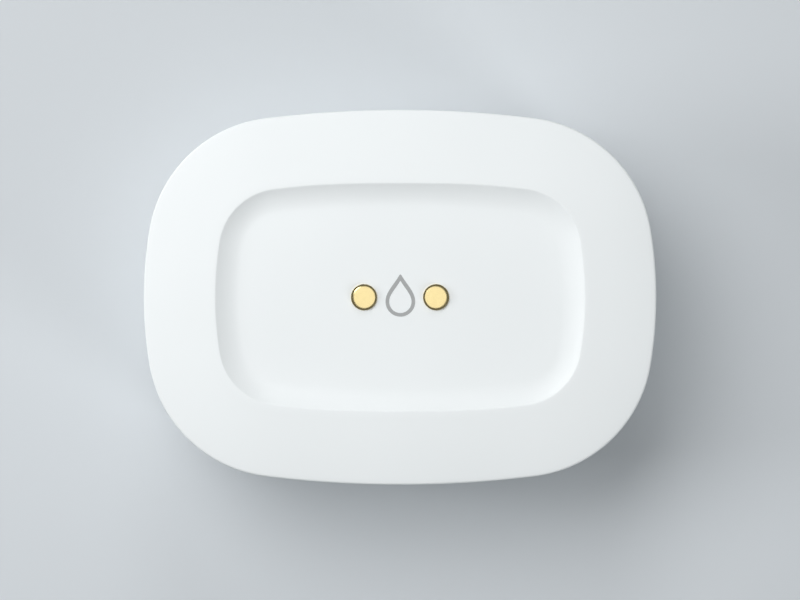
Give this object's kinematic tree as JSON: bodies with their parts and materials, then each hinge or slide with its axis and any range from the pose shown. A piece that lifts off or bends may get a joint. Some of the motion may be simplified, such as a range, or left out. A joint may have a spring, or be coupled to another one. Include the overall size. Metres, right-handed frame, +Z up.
{
  "type": "water leak sensor",
  "caption": "Flat water leak sensor: rounded white case, two gold contacts in a shallow dish on top, two at the floor, hinged battery door and pairing button underneath.",
  "frame": {"origin": "on the floor, under the middle of the case", "axes": "+X along the long side, +Y across it towards the battery side, +Z up; the contacts in the dish face +Z and the light pipe faces -Y"},
  "size_m": [0.064, 0.0468, 0.0216],
  "materials": {
    "case_plastic": "fine satin moulding, cool white",
    "pad_rubber": "matt grey",
    "cell_sleeve": "plain dark shrink sleeve on a steel can",
    "spring_steel": "nickel-plated spring strip",
    "gold_plate": "polished gold plating",
    "seal_silicone": "soft satin",
    "board_laminate": "green solder mask",
    "shield_tin": "tinned sheet",
    "led_package": "white package",
    "light_pipe_plastic": "translucent, milky",
    "component_ceramic": "fired ceramic and black epoxy",
    "switch_housing": "black",
    "button_plastic": "light grey"
  },
  "bodies": {
    "housing": {"top_cover": "case_plastic", "base_shell": "case_plastic", "foot_pads": "pad_rubber", "battery_cell": "cell_sleeve", "battery_plus_contact": "spring_steel", "battery_minus_contact": "spring_steel", "contact_leaf_left": "spring_steel", "contact_leaf_right": "spring_steel", "top_probe_left": "gold_plate", "top_probe_right": "gold_plate", "floor_probe_left": "gold_plate", "floor_probe_right": "gold_plate", "circuit_board": "board_laminate", "radio_carrier": "board_laminate", "radio_shield": "shield_tin", "crystal": "shield_tin", "status_led": "led_package", "light_pipe": "light_pipe_plastic", "thermistor": "component_ceramic", "board_components": "component_ceramic", "tact_switch": "switch_housing"},
    "battery_door": {"battery_door": "case_plastic", "door_seal": "seal_silicone"},
    "pairing_button": {"pairing_button": "button_plastic", "switch_plunger": "button_plastic"}
  },
  "joints": [
    {"name": "battery_door_hinge", "type": "hinge", "parent": "housing", "child": "battery_door", "pos_m": [0, -0.00095, 0.00125], "axis": [-1, 0, 0], "range_deg": [0, 95]},
    {"name": "pairing_button_press", "type": "slide", "parent": "housing", "child": "pairing_button", "axis": [0, 0, 1], "range_m": [0, 0.00035], "stiffness_N_per_m": 1500, "springref_m": -0.0002}
  ]
}
